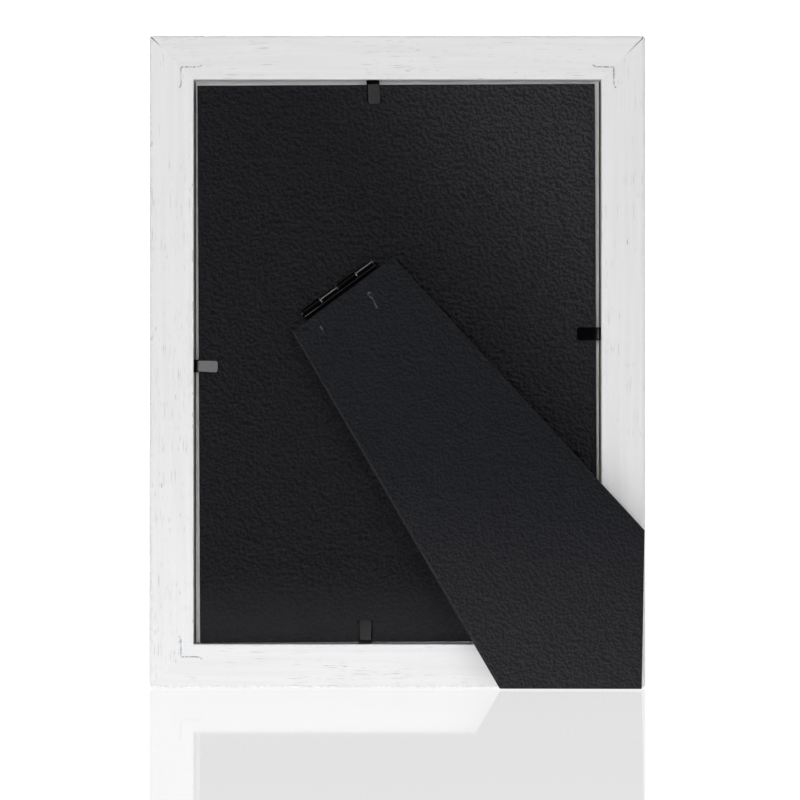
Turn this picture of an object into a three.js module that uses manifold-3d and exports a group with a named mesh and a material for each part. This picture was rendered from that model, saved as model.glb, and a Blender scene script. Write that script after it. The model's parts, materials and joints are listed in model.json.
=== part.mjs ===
// A 13 x 18 cm picture frame of white wood, with a black backboard and an easel strut.
// Millimetres, +Z up. The back, with the strut, faces -Y and the picture faces +Y. Left and right are as
// seen from behind. The origin is the middle of the bottom rail's resting face.

import * as THREE from 'three';
import { mergeVertices } from 'three/addons/utils/BufferGeometryUtils.js';
import Module from 'manifold-3d';

const wasm = await Module();
wasm.setup();

// Moulding
const RABBET_WIDTH = 130;
const RABBET_HEIGHT = 180;
const BACK_FACE_WIDTH = 14; // outer edge to rabbet wall
const LIP_WIDTH = 5; // how far the front lip covers the picture
const LIP_THICKNESS = 6;
const RECESS_DEPTH = 3.3; // rails' back face to the board
const EDGE_RADIUS = 0.8;
const RABBET_EDGE_RADIUS = 0.4;
const SIGHT_BEVEL = 2;
const MITRE_GAP = 0.12;

// Layers in the rabbet, all standing on its bottom wall
const GLASS_THICKNESS = 2;
const GLASS_CLEARANCE = 0.5; // each side, for the glass and the insert
const INSERT_THICKNESS = 0.4;
const BOARD_THICKNESS = 3;
const BOARD_SIDE_CLEARANCE = 1.5;
const BOARD_TOP_CLEARANCE = 1.7;
const SEAT_GAP = 0.3; // under the glass, the insert and the board
const LAYER_GAP = 0.1;

// Corner nails: bent strips driven in from the back, across each mitre
const NAIL_THICKNESS = 0.45;
const NAIL_HEIGHT = 9;
const NAIL_LEG = 5.4;
const NAIL_CURL_RADIUS = 1.4;
const NAIL_CURL_DEG = 50;
const NAIL_TO_RABBET = 4;
const NAIL_SINK = 0.15;
const NAIL_CLEARANCE = 0.12;

// Flexible tabs: each a steel strip driven into the rabbet wall, with a flap bent down on the board
const TAB_THICKNESS = 0.5;
const TAB_ROOT_WIDTH = 4.1;
const TAB_TIP_WIDTH = 4.4;
const TAB_TIP_RADIUS = 0.8;
const TAB_DRIVEN = 7;
const TAB_BEND_FROM_WALL = 1;
const TAB_BEND_GAP = 0.35; // bend line to the end of the driven half
const TAB_FLAP_LENGTH = 6.6;
const TAB_RISE = 0.6; // board to the tab's underside at the wall
const TAB_TIP_GAP = 0.15;
const TAB_KERF_CLEARANCE = 0.12;
// Each tab's place along its rail and how far its tip is turned aside, in the rail's own frame
const TAB_PLACES = {
  bottom: { along: -10.3, skewDeg: 0.5 },
  left: { along: 1.3, skewDeg: 2 },
  top: { along: 7.8, skewDeg: -4 },
  right: { along: 9, skewDeg: -0.5 },
};

// Strut hinge: two like leaves of sheet steel, rolled round a pin and clinched through the boards
const HINGE_FROM_CENTRE_X = -18.95;
const HINGE_FROM_CENTRE_Z = 24.2;
const HINGE_TILT_DEG = 36.4;
const PIN_RADIUS = 0.6;
const PIN_CLEARANCE = 0.08;
const PIN_HEAD_RADIUS = 1;
const PIN_HEAD_THICKNESS = 0.45;
const PIN_HEAD_GAP = 0.1;
const LEAF_THICKNESS = 0.55;
const LEAF_WIDTH = 12;
const LEAF_NOTCH = 0.3; // barrel to the leaf edge between its own knuckles
const LEAF_SEAT = 0.1;
const KNUCKLE_PITCH = 7;
const KNUCKLE_GAP = 0.3;
const KNUCKLE_ROLL_DEG = 285;
const PRONG_WIDTH = 1.4;
const PRONG_CLINCH = 1.1;
const PRONG_CLEARANCE = 0.15;
const PRONG_FROM_EDGE = 4.9; // strut's top edge to the prongs
const LEFT_PRONG_FROM_END = 2.3; // barrel's end to the prong's middle
const RIGHT_PRONG_FROM_END = 7;

// Strut: flares from the hinge to two foot edges, one for each way the frame stands
const STRUT_THICKNESS = 2.5;
const STRUT_TOP_WIDTH = 39.8;
const STRUT_TOP_GAP = 2.67; // hinge axis to the strut's top edge
const STRUT_FLARE_DEG = 6.2;
const FOOT_LIFT = 0.15;
const SIDE_FOOT_INSET = 1.5;
const SIDE_FOOT_LEAN_DEG = 1.15;
const STRUT_AJAR_DEG = 2.5; // from lying on the rails to the rest pose
const STRUT_RAIL_CLEARANCE = 0.2;

const ARC_STEPS = 4;
const ROLL_STEPS = 20;
const PIN_SIDES = 20;
const MERGE_TOLERANCE = 1e-4;

// Sizes that follow
const frameWidth = RABBET_WIDTH + 2 * BACK_FACE_WIDTH;
const frameHeight = RABBET_HEIGHT + 2 * BACK_FACE_WIDTH;
const mouldingWidth = BACK_FACE_WIDTH + LIP_WIDTH;
const layersDepth = GLASS_THICKNESS + INSERT_THICKNESS + BOARD_THICKNESS + 3 * LAYER_GAP;
const frameDepth = LIP_THICKNESS + layersDepth + RECESS_DEPTH;
const frontY = frameDepth / 2;
const backY = -frameDepth / 2;
const glassFrontY = frontY - LIP_THICKNESS - LAYER_GAP;
const insertFrontY = glassFrontY - GLASS_THICKNESS - LAYER_GAP;
const boardFrontY = insertFrontY - INSERT_THICKNESS - LAYER_GAP;
const boardBackY = boardFrontY - BOARD_THICKNESS;
const boardWidth = RABBET_WIDTH - 2 * BOARD_SIDE_CLEARANCE;
const boardHeight = RABBET_HEIGHT - SEAT_GAP - BOARD_TOP_CLEARANCE;
const seatZ = BACK_FACE_WIDTH + SEAT_GAP;
const rollInner = PIN_RADIUS + PIN_CLEARANCE;
const rollOuter = rollInner + LEAF_THICKNESS;
const barrelHalf = 2 * KNUCKLE_PITCH; // two knuckles of each leaf
const prongFromAxis = STRUT_TOP_GAP + PRONG_FROM_EDGE;
const prongPlaces = [LEFT_PRONG_FROM_END - barrelHalf, barrelHalf - RIGHT_PRONG_FROM_END];
const pocketDepth = LEAF_THICKNESS + 2 * LEAF_SEAT;

function radians(degrees) {
  return THREE.MathUtils.degToRad(degrees);
}

function painted(color, roughness, metalness = 0) {
  return new THREE.MeshStandardMaterial({ color, roughness, metalness });
}

function piece(name, geometry, material) {
  const mesh = new THREE.Mesh(geometry, material);
  mesh.name = name;
  return mesh;
}

// A closed mesh as a solid that can be cut and joined
function solidOf(geometry) {
  const bare = geometry.clone();
  bare.deleteAttribute('normal');
  bare.deleteAttribute('uv');
  const merged = mergeVertices(bare, MERGE_TOLERANCE);
  const vertProperties = new Float32Array(merged.attributes.position.array);
  const triVerts = new Uint32Array(merged.index.array);
  return new wasm.Manifold(new wasm.Mesh({ numProp: 3, vertProperties, triVerts }));
}

function geometryOf(solid) {
  const { vertProperties, triVerts } = solid.getMesh();
  const geometry = new THREE.BufferGeometry();
  geometry.setAttribute('position', new THREE.BufferAttribute(new Float32Array(vertProperties), 3));
  geometry.setIndex(new THREE.BufferAttribute(new Uint32Array(triVerts), 1));
  geometry.computeVertexNormals();
  return geometry;
}

function cut(geometry, cutters) {
  const solid = cutters.reduce((rest, cutter) => rest.subtract(solidOf(cutter)), solidOf(geometry));
  return geometryOf(solid);
}

function join(geometries) {
  const solid = geometries.map(solidOf).reduce((all, next) => all.add(next));
  return geometryOf(solid);
}

// A box between two corners
function boxBetween(low, high) {
  const box = new THREE.BoxGeometry(high[0] - low[0], high[1] - low[1], high[2] - low[2]);
  return box.translate((low[0] + high[0]) / 2, (low[1] + high[1]) / 2, (low[2] + high[2]) / 2);
}

// An outline drawn in X and Z, as a plate from nearY to farY
function plate(shape, nearY, farY) {
  const geometry = new THREE.ExtrudeGeometry(shape, {
    depth: farY - nearY,
    bevelEnabled: false,
    curveSegments: ARC_STEPS,
  });
  return geometry.rotateX(Math.PI / 2).translate(0, farY, 0);
}

// The moulding's section: x runs inwards from the outer edge, y from the back face to the front
function mouldingSection() {
  const section = new THREE.Shape();
  section.absarc(EDGE_RADIUS, backY + EDGE_RADIUS, EDGE_RADIUS, -Math.PI / 2, -Math.PI, true);
  section.absarc(EDGE_RADIUS, frontY - EDGE_RADIUS, EDGE_RADIUS, Math.PI, Math.PI / 2, true);
  section.lineTo(mouldingWidth - SIGHT_BEVEL, frontY);
  section.lineTo(mouldingWidth, frontY - SIGHT_BEVEL);
  section.lineTo(mouldingWidth, frontY - LIP_THICKNESS);
  section.lineTo(BACK_FACE_WIDTH, frontY - LIP_THICKNESS);
  const edgeX = BACK_FACE_WIDTH - RABBET_EDGE_RADIUS;
  section.absarc(edgeX, backY + RABBET_EDGE_RADIUS, RABBET_EDGE_RADIUS, 0, -Math.PI / 2, true);
  section.closePath();
  return section;
}

// A rail along X with mitred ends, its outer edge on z = 0 and its inner edge above
function mitredRail(length) {
  const geometry = new THREE.ExtrudeGeometry(mouldingSection(), {
    depth: 1,
    bevelEnabled: false,
    curveSegments: ARC_STEPS,
  });
  const setback = MITRE_GAP / Math.SQRT2;
  const position = geometry.attributes.position;
  for (let i = 0; i < position.count; i += 1) {
    const inwards = position.getX(i);
    const end = 1 - 2 * position.getZ(i);
    position.setXYZ(i, end * (length / 2 - inwards - setback), position.getY(i), inwards);
  }
  return geometry;
}

// A nail's outline in X and Z from its bend: one leg along +X, one along +Z, ends curled to the outer edges
function nailOutline(clearance) {
  const half = NAIL_THICKNESS / 2 + clearance;
  const outer = NAIL_CURL_RADIUS + half;
  const inner = NAIL_CURL_RADIUS - half;
  const curl = radians(NAIL_CURL_DEG) + clearance / NAIL_CURL_RADIUS;
  const outline = new THREE.Shape();
  outline.moveTo(half, half);
  outline.lineTo(NAIL_LEG, half);
  outline.absarc(NAIL_LEG, -NAIL_CURL_RADIUS, outer, Math.PI / 2, Math.PI / 2 - curl, true);
  outline.absarc(NAIL_LEG, -NAIL_CURL_RADIUS, inner, Math.PI / 2 - curl, Math.PI / 2, false);
  outline.lineTo(-half, -half);
  outline.absarc(-NAIL_CURL_RADIUS, NAIL_LEG, inner, 0, curl, false);
  outline.absarc(-NAIL_CURL_RADIUS, NAIL_LEG, outer, curl, 0, true);
  outline.closePath();
  return outline;
}

// A nail set from its outer corner, or with a clearance the slot that it is driven into
function cornerNail(clearance = 0) {
  const topY = backY + NAIL_SINK;
  const openY = clearance > 0 ? topY - NAIL_SINK - clearance : topY;
  const fromCorner = BACK_FACE_WIDTH - NAIL_TO_RABBET;
  const nail = plate(nailOutline(clearance), openY, topY + NAIL_HEIGHT + clearance);
  return nail.translate(fromCorner, 0, fromCorner);
}

const tabY = boardBackY - TAB_RISE - TAB_THICKNESS / 2;
const tabBendZ = BACK_FACE_WIDTH + TAB_BEND_FROM_WALL;

// The frame of one tab, on its bend line: +Z runs inwards over the board
function tabPlace(side) {
  const place = new THREE.Group();
  place.position.set(TAB_PLACES[side].along, tabY, tabBendZ);
  place.rotation.y = radians(TAB_PLACES[side].skewDeg);
  place.updateMatrix();
  return place;
}

// The half that is driven into the rail, or with a clearance the kerf that it sits in
function tabPoint(clearance = 0) {
  const halfWidth = TAB_ROOT_WIDTH / 2 + clearance;
  const halfThickness = TAB_THICKNESS / 2 + clearance;
  const low = -TAB_BEND_FROM_WALL - TAB_DRIVEN - clearance;
  return boxBetween([-halfWidth, -halfThickness, low], [halfWidth, halfThickness, -TAB_BEND_GAP]);
}

function tabFlap() {
  const root = TAB_ROOT_WIDTH / 2;
  const tip = TAB_TIP_WIDTH / 2;
  const tipZ = TAB_FLAP_LENGTH;
  const outline = new THREE.Shape();
  outline.moveTo(-root, 0);
  outline.lineTo(root, 0);
  outline.absarc(tip - TAB_TIP_RADIUS, tipZ - TAB_TIP_RADIUS, TAB_TIP_RADIUS, 0, Math.PI / 2, false);
  outline.absarc(TAB_TIP_RADIUS - tip, tipZ - TAB_TIP_RADIUS, TAB_TIP_RADIUS, Math.PI / 2, Math.PI, false);
  outline.closePath();
  return plate(outline, -TAB_THICKNESS / 2, TAB_THICKNESS / 2);
}

// A leaf in the hinge's frame: axis on X, sheet running to -Z on the -Y side of the axis. The prongs pass
// through a board of the given grip and are clinched over it.
function hingeLeaf(grip) {
  const halfLength = barrelHalf - KNUCKLE_GAP / 2;
  const leafTop = rollOuter + LEAF_NOTCH;
  const parts = [boxBetween([-halfLength, -rollOuter, -LEAF_WIDTH], [halfLength, -rollInner, -leafTop])];
  for (const start of [-KNUCKLE_PITCH, KNUCKLE_PITCH]) {
    parts.push(rolledKnuckle(leafTop + LEAF_NOTCH).translate(start + KNUCKLE_GAP / 2, 0, 0));
  }
  const stemZ = -prongFromAxis;
  const clinchY = -rollOuter - LEAF_SEAT - grip - LEAF_SEAT;
  for (const along of prongPlaces) {
    const left = along - PRONG_WIDTH / 2;
    const right = along + PRONG_WIDTH / 2;
    const endY = clinchY - LEAF_THICKNESS;
    parts.push(boxBetween([left, endY, stemZ - LEAF_THICKNESS], [right, -rollInner, stemZ]));
    parts.push(boxBetween([left, endY, stemZ - LEAF_THICKNESS - PRONG_CLINCH], [right, clinchY, stemZ]));
  }
  return join(parts);
}

// The sheet rolled round the pin, with the neck that joins it to the leaf, from x = 0
function rolledKnuckle(neckLength) {
  const start = Math.PI / 2;
  const end = start + radians(KNUCKLE_ROLL_DEG);
  const roll = new THREE.Shape();
  roll.moveTo(neckLength, rollInner);
  roll.absarc(0, 0, rollInner, start, end, false);
  roll.absarc(0, 0, rollOuter, end, start, true);
  roll.lineTo(neckLength, rollOuter);
  roll.closePath();
  const geometry = new THREE.ExtrudeGeometry(roll, {
    depth: KNUCKLE_PITCH - KNUCKLE_GAP,
    bevelEnabled: false,
    curveSegments: ROLL_STEPS,
  });
  const turned = new THREE.Matrix4().makeBasis(
    new THREE.Vector3(0, 0, -1),
    new THREE.Vector3(0, -1, 0),
    new THREE.Vector3(-1, 0, 0),
  );
  return geometry.applyMatrix4(turned).translate(KNUCKLE_PITCH - KNUCKLE_GAP, 0, 0);
}

function hingePin() {
  const endX = barrelHalf + PIN_HEAD_GAP;
  const headX = endX + PIN_HEAD_THICKNESS;
  const profile = [
    [0, -headX],
    [PIN_HEAD_RADIUS, -headX],
    [PIN_HEAD_RADIUS, -endX],
    [PIN_RADIUS, -endX],
    [PIN_RADIUS, endX],
    [PIN_HEAD_RADIUS, endX],
    [PIN_HEAD_RADIUS, headX],
    [0, headX],
  ];
  const points = profile.map(([radius, along]) => new THREE.Vector2(radius, along));
  return new THREE.LatheGeometry(points, PIN_SIDES).rotateZ(Math.PI / 2);
}

// What a leaf's prongs cut out of a board between two depths, in the hinge's frame: a slot each, and with the
// length of the clinched end the hollow that it is pressed into
function prongCuts(nearY, farY, clinchLength = 0) {
  const frontZ = -prongFromAxis + PRONG_CLEARANCE;
  const rearZ = -prongFromAxis - LEAF_THICKNESS - clinchLength - PRONG_CLEARANCE;
  const half = PRONG_WIDTH / 2 + PRONG_CLEARANCE;
  return prongPlaces.map((along) => boxBetween([along - half, nearY, rearZ], [along + half, farY, frontZ]));
}

// Where the strut's outline comes from: lines in the hinge's frame, x along the axis and z up the strut
const boardCentreZ = seatZ + boardHeight / 2;
const hingeTilt = radians(HINGE_TILT_DEG);
const hingeX = HINGE_FROM_CENTRE_X;
const hingeZ = boardCentreZ + HINGE_FROM_CENTRE_Z;
const hingeY = boardBackY - LEAF_SEAT - rollOuter;

// A point of the frame's back, as seen from the hinge
function fromHinge(x, z) {
  const dx = x - hingeX;
  const dz = z - hingeZ;
  const cos = Math.cos(hingeTilt);
  const sin = Math.sin(hingeTilt);
  return new THREE.Vector2(dx * cos + dz * sin, dz * cos - dx * sin);
}

function crossing(p, along, q, towards) {
  const gap = q.clone().sub(p);
  return p.clone().addScaledVector(along, gap.cross(towards) / along.cross(towards));
}

const flare = radians(STRUT_FLARE_DEG);
const topLeft = new THREE.Vector2(-STRUT_TOP_WIDTH / 2, -STRUT_TOP_GAP);
const topRight = new THREE.Vector2(STRUT_TOP_WIDTH / 2, -STRUT_TOP_GAP);
const downLeft = new THREE.Vector2(-Math.sin(flare), -Math.cos(flare));
const downRight = new THREE.Vector2(Math.sin(flare), -Math.cos(flare));
const level = fromHinge(1, 0).sub(fromHinge(0, 0));
const upright = fromHinge(0, 1).sub(fromHinge(0, 0));
const footCorner = fromHinge(frameWidth / 2 - SIDE_FOOT_INSET, FOOT_LIFT);
const sideLean = radians(SIDE_FOOT_LEAN_DEG);
const sideEdge = upright.clone().multiplyScalar(Math.cos(sideLean)).addScaledVector(level, Math.sin(sideLean));

// The strut first meets a rail where one of its sides crosses a rabbet wall
const onRightRail = crossing(topRight, downRight, fromHinge(RABBET_WIDTH / 2, 0), upright);
const onBottomRail = crossing(topLeft, downLeft, fromHinge(0, BACK_FACE_WIDTH), level);
const reachToRail = Math.min(-onRightRail.y, -onBottomRail.y);
const strutNearY = rollOuter + LEAF_SEAT;
const dropToBoard = -backY + hingeY - strutNearY;
const closedAngle = Math.asin((dropToBoard + STRUT_RAIL_CLEARANCE) / reachToRail);
const restAngle = closedAngle + radians(STRUT_AJAR_DEG);

function strutBoard() {
  const outline = [
    topLeft,
    crossing(topLeft, downLeft, footCorner, level),
    footCorner,
    crossing(topRight, downRight, footCorner, sideEdge),
    topRight,
  ];
  const farY = -strutNearY;
  const nearY = farY - STRUT_THICKNESS;
  const board = plate(new THREE.Shape(outline), nearY, farY);
  return cut(board, prongCuts(nearY - PRONG_CLEARANCE, farY + PRONG_CLEARANCE));
}

// The frame's four sides, each a quarter turn on from the last, from the bottom rail
const sides = [
  { name: 'bottom', x: 0, z: 0, length: frameWidth },
  { name: 'left', x: -frameWidth / 2, z: frameHeight / 2, length: frameHeight },
  { name: 'top', x: 0, z: frameHeight, length: frameWidth },
  { name: 'right', x: frameWidth / 2, z: frameHeight / 2, length: frameHeight },
];
const corners = [
  { name: 'bottom_left', x: -frameWidth / 2, z: 0 },
  { name: 'top_left', x: -frameWidth / 2, z: frameHeight },
  { name: 'top_right', x: frameWidth / 2, z: frameHeight },
  { name: 'bottom_right', x: frameWidth / 2, z: 0 },
];

const whiteWood = painted(0xe8e8ea, 0.6);
const nailSteel = painted(0x8f8f90, 0.5, 0.8);
const clearGlass = painted(0xdfe8e6, 0.05);
const plainCard = painted(0xf2f0ea, 0.85);
const pebbledBlack = painted(0x26262b, 0.7);
const strutBlack = painted(0x2b2d2f, 0.75);
const blackSteel = painted(0x17171a, 0.35, 0.5);

const frame = new THREE.Group();

sides.forEach(({ name, x, z, length }, turn) => {
  const side = new THREE.Group();
  side.position.set(x, 0, z);
  side.rotation.y = (turn * Math.PI) / 2;
  const place = tabPlace(name);
  const farEnd = new THREE.Matrix4().makeRotationY(-Math.PI / 2).setPosition(length / 2, 0, 0);
  const slots = [
    tabPoint(TAB_KERF_CLEARANCE).applyMatrix4(place.matrix),
    cornerNail(NAIL_CLEARANCE).translate(-length / 2, 0, 0),
    cornerNail(NAIL_CLEARANCE).applyMatrix4(farEnd),
  ];
  side.add(piece(`${name}_rail`, cut(mitredRail(length), slots), whiteWood.clone()));
  place.add(piece(`${name}_tab_point`, tabPoint(), blackSteel.clone()));
  const flap = piece(`${name}_tab_flap`, tabFlap(), blackSteel.clone());
  flap.rotation.x = -Math.asin((TAB_RISE - TAB_TIP_GAP) / TAB_FLAP_LENGTH);
  place.add(flap);
  side.add(place);
  frame.add(side);
});

corners.forEach(({ name, x, z }, turn) => {
  const nail = piece(`${name}_corner_nail`, cornerNail(), nailSteel.clone());
  nail.position.set(x, 0, z);
  nail.rotation.y = (turn * Math.PI) / 2;
  frame.add(nail);
});

const sheetWidth = RABBET_WIDTH - 2 * GLASS_CLEARANCE;
const sheetTopZ = BACK_FACE_WIDTH + RABBET_HEIGHT - GLASS_CLEARANCE;
const glassLow = [-sheetWidth / 2, glassFrontY - GLASS_THICKNESS, seatZ];
const insertLow = [-sheetWidth / 2, insertFrontY - INSERT_THICKNESS, seatZ];
frame.add(piece('picture_glass', boxBetween(glassLow, [sheetWidth / 2, glassFrontY, sheetTopZ]), clearGlass));
frame.add(piece('picture_insert', boxBetween(insertLow, [sheetWidth / 2, insertFrontY, sheetTopZ]), plainCard));

// The hinge's frame: X along the axis, -Z towards the strut's foot
const hinge = new THREE.Group();
hinge.position.set(hingeX, hingeY, hingeZ);
hinge.rotation.y = -hingeTilt;
hinge.updateMatrix();

// The board's leaf is the strut's leaf turned over, so its prongs point into the board
const turnedOver = new THREE.Matrix4().makeRotationZ(Math.PI);
const boardGrip = BOARD_THICKNESS - pocketDepth;
const slotNearY = -rollOuter - LEAF_SEAT - BOARD_THICKNESS - PRONG_CLEARANCE;
const pocketFarY = -rollOuter - LEAF_SEAT - boardGrip;
const boardCuts = [
  ...prongCuts(slotNearY, -rollOuter),
  ...prongCuts(slotNearY, pocketFarY, PRONG_CLINCH),
];
boardCuts.forEach((cutter) => cutter.applyMatrix4(turnedOver).applyMatrix4(hinge.matrix));
const boardLow = [-boardWidth / 2, boardBackY, seatZ];
const boardHigh = [boardWidth / 2, boardFrontY, seatZ + boardHeight];
frame.add(piece('backboard', cut(boxBetween(boardLow, boardHigh), boardCuts), pebbledBlack));

const boardLeaf = piece('board_hinge_leaf', hingeLeaf(boardGrip), blackSteel.clone());
boardLeaf.rotation.z = Math.PI;
hinge.add(boardLeaf);
hinge.add(piece('hinge_pin', hingePin(), blackSteel.clone()));

const swing = new THREE.Group();
swing.rotation.x = -restAngle;
swing.add(piece('strut_hinge_leaf', hingeLeaf(STRUT_THICKNESS), blackSteel.clone()));
swing.add(piece('strut', strutBoard(), strutBlack));
hinge.add(swing);
frame.add(hinge);

export default frame;
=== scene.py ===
import json
import math

import bmesh
import bpy
from mathutils import Matrix, Vector
from mathutils.geometry import convex_hull_2d


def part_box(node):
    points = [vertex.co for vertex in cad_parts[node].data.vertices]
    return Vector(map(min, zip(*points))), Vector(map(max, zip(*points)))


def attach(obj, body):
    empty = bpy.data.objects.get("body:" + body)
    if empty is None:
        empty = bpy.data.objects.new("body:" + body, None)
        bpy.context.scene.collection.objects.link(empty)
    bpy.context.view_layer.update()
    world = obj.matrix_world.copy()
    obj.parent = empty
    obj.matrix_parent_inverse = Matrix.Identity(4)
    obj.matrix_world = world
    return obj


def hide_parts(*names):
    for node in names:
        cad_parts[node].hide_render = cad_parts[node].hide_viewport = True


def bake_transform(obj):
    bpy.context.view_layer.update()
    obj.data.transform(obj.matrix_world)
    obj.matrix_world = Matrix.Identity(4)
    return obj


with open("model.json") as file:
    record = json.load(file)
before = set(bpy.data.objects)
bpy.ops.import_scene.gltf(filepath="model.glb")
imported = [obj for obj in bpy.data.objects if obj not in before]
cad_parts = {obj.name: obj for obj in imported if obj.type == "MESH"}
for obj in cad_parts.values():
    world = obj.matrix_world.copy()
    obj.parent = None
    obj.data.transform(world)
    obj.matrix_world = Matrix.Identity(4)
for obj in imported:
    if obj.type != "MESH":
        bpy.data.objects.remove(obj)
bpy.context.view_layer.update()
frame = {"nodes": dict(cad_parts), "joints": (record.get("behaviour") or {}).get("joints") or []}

# A 13 x 18 cm picture frame seen from behind: white wood, black board, easel strut. Metres, as in the frame.

mm = 0.001
jointOf = {joint["name"]: joint for joint in frame["joints"]}
inwards = Vector((0, 1, 0))                      # from the back towards the picture
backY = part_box("bottom_rail")[0].y
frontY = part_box("bottom_rail")[1].y
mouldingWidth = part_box("bottom_rail")[1].z
frameWidth = 2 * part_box("right_rail")[1].x
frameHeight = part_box("top_rail")[1].z


# Small tools for meshes
def place(name, data):
    piece = bpy.data.objects.new(name, data)
    bpy.context.scene.collection.objects.link(piece)
    return piece


def placeShell(name, shell):
    mesh = bpy.data.meshes.new(name)
    shell.to_mesh(mesh)
    shell.free()
    return place(name, mesh)


def discard(*helpers):
    for helper in helpers:
        mesh = helper.data
        bpy.data.objects.remove(helper)
        bpy.data.meshes.remove(mesh)


def bake(piece):                                 # its modifiers become a plain mesh
    graph = bpy.context.evaluated_depsgraph_get()
    mesh = bpy.data.meshes.new_from_object(piece.evaluated_get(graph))
    piece.modifiers.clear()
    old = piece.data
    piece.data = mesh
    bpy.data.meshes.remove(old)
    mesh.name = piece.name


def carve(piece, tool, operation="DIFFERENCE"):
    modifier = piece.modifiers.new("carve", "BOOLEAN")
    modifier.operation = operation
    modifier.solver = "MANIFOLD"
    modifier.material_mode = "TRANSFER" if operation == "UNION" else "INDEX"
    modifier.object = tool
    bake(piece)


def soften(piece, width, segments=2, angle=50):
    modifier = piece.modifiers.new("soften", "BEVEL")
    modifier.width = width
    modifier.segments = segments
    modifier.limit_method = "ANGLE"
    modifier.angle_limit = math.radians(angle)
    bake(piece)


def closeUp(piece, tolerance=1e-7):              # merge doubles, turn faces outwards
    shell = bmesh.new()
    shell.from_mesh(piece.data)
    bmesh.ops.remove_doubles(shell, verts=shell.verts, dist=tolerance)
    bmesh.ops.recalc_face_normals(shell, faces=shell.faces)
    shell.to_mesh(piece.data)
    shell.free()


def boxBetween(name, low, high):
    shell = bmesh.new()
    bmesh.ops.create_cube(shell, size=1.0)
    low = Vector(low)
    high = Vector(high)
    for corner in shell.verts:
        corner.co = Vector(low[k] if corner.co[k] < 0 else high[k] for k in range(3))
    return placeShell(name, shell)


def chain(name, points, closed=False, **marks):  # a line of edges for a node tree to follow
    count = len(points)
    links = [(k, (k + 1) % count) for k in range(count if closed else count - 1)]
    mesh = bpy.data.meshes.new(name)
    mesh.from_pydata([tuple(point) for point in points], links, [])
    for label, values in marks.items():
        mesh.attributes.new(label, "FLOAT", "POINT").data.foreach_set("value", values)
    return place(name, mesh)


def arc(centre, radius, first, last, steps):     # in a plane, angles in degrees
    turns = [math.radians(first + (last - first) * k / steps) for k in range(steps + 1)]
    return [(centre[0] + radius * math.cos(t), centre[1] + radius * math.sin(t)) for t in turns]


def filletLoop(corners, spacing, steps):         # corners are (x, y, radius, worn)
    arcs = []
    for k, (x, y, radius, _) in enumerate(corners):
        here = Vector((x, y))
        toBefore = (Vector(corners[k - 1][:2]) - here).normalized()
        toAfter = (Vector(corners[(k + 1) % len(corners)][:2]) - here).normalized()
        half = toBefore.angle(toAfter) / 2
        centre = here + (toBefore + toAfter).normalized() * (radius / math.sin(half))
        first = here + toBefore * (radius / math.tan(half)) - centre
        last = here + toAfter * (radius / math.tan(half)) - centre
        first.normalize()
        last.normalize()
        arcs.append([centre + first.slerp(last, n / steps) * radius for n in range(steps + 1)])
    loop = []
    for k, points in enumerate(arcs):
        gap = arcs[(k + 1) % len(arcs)][0] - points[-1]
        count = int(gap.length // spacing)
        loop += points + [points[-1] + gap * (n / (count + 1)) for n in range(1, count + 1)]
    return loop


def edgeMask(loop, corners, reach):              # 1 on the worn corners of a section, fading beside them
    mask = []
    for point in loop:
        near = [(point - Vector((x, y))).length - radius for x, y, radius, worn in corners if worn]
        mask.append(max(0.0, min(1.0, 1 - min(near) / reach)))
    return mask


def settle(piece, body, slot, *nodes, sharp=35):
    piece.data.shade_smooth()
    piece.data.set_sharp_from_angle(angle=math.radians(sharp))
    if body:
        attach(piece, body)
    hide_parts(*nodes)
    print(piece.name, "made:", sum(len(face.vertices) - 2 for face in piece.data.polygons), "triangles")


# Small tools for nodes
def plug(socket, value):
    if isinstance(value, bpy.types.NodeSocket):
        socket.id_data.links.new(value, socket)
    else:
        socket.default_value = value


def treeOf(values):                              # the tree of the first socket among them
    return next(value.id_data for value in values if isinstance(value, bpy.types.NodeSocket))


def addNode(tree, kind, inputs=None, **settings):
    node = tree.nodes.new(kind)
    for label, value in settings.items():
        setattr(node, label, value)
    for label, value in (inputs or {}).items():
        plug(node.inputs[label], value)
    return node


def newTree(name, kind, inputs, outputs):        # sockets as label: kind of socket
    tree = bpy.data.node_groups.new(name, kind)
    for label, socket in inputs.items():
        tree.interface.new_socket(label, in_out="INPUT", socket_type="NodeSocket" + socket)
    for label, socket in outputs.items():
        tree.interface.new_socket(label, in_out="OUTPUT", socket_type="NodeSocket" + socket)
    return tree, tree.nodes.new("NodeGroupInput").outputs, tree.nodes.new("NodeGroupOutput").inputs


def shade(tree, kind, inputs=None, **settings):  # a shader node's first output
    return addNode(tree, "ShaderNode" + kind, inputs, **settings).outputs[0]


def shape(tree, kind, inputs=None, **settings):  # a geometry node's first output
    return addNode(tree, "GeometryNode" + kind, inputs, **settings).outputs[0]


def calc(operation, *values):
    return shade(treeOf(values), "Math", dict(enumerate(values)), operation=operation)


def times(*values):
    return calc("MULTIPLY", *values)


def minus(*values):
    return calc("SUBTRACT", *values)


def calcVector(operation, *values):
    node = addNode(treeOf(values), "ShaderNodeVectorMath", dict(enumerate(values)), operation=operation)
    return node.outputs["Value" if operation in ("LENGTH", "DOT_PRODUCT", "DISTANCE") else "Vector"]


def blendOf(kind, factor, first, second):        # kind is FLOAT, VECTOR or RGBA
    low, high, out = {"FLOAT": (2, 3, 0), "VECTOR": (4, 5, 1), "RGBA": (6, 7, 2)}[kind]
    node = addNode(treeOf((factor, first, second)), "ShaderNodeMix", data_type=kind)
    for socket, value in ((0, factor), (low, first), (high, second)):
        plug(node.inputs[socket], value)
    return node.outputs[out]


def tint(factor, first, second):
    return blendOf("RGBA", factor, first, second)


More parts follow.
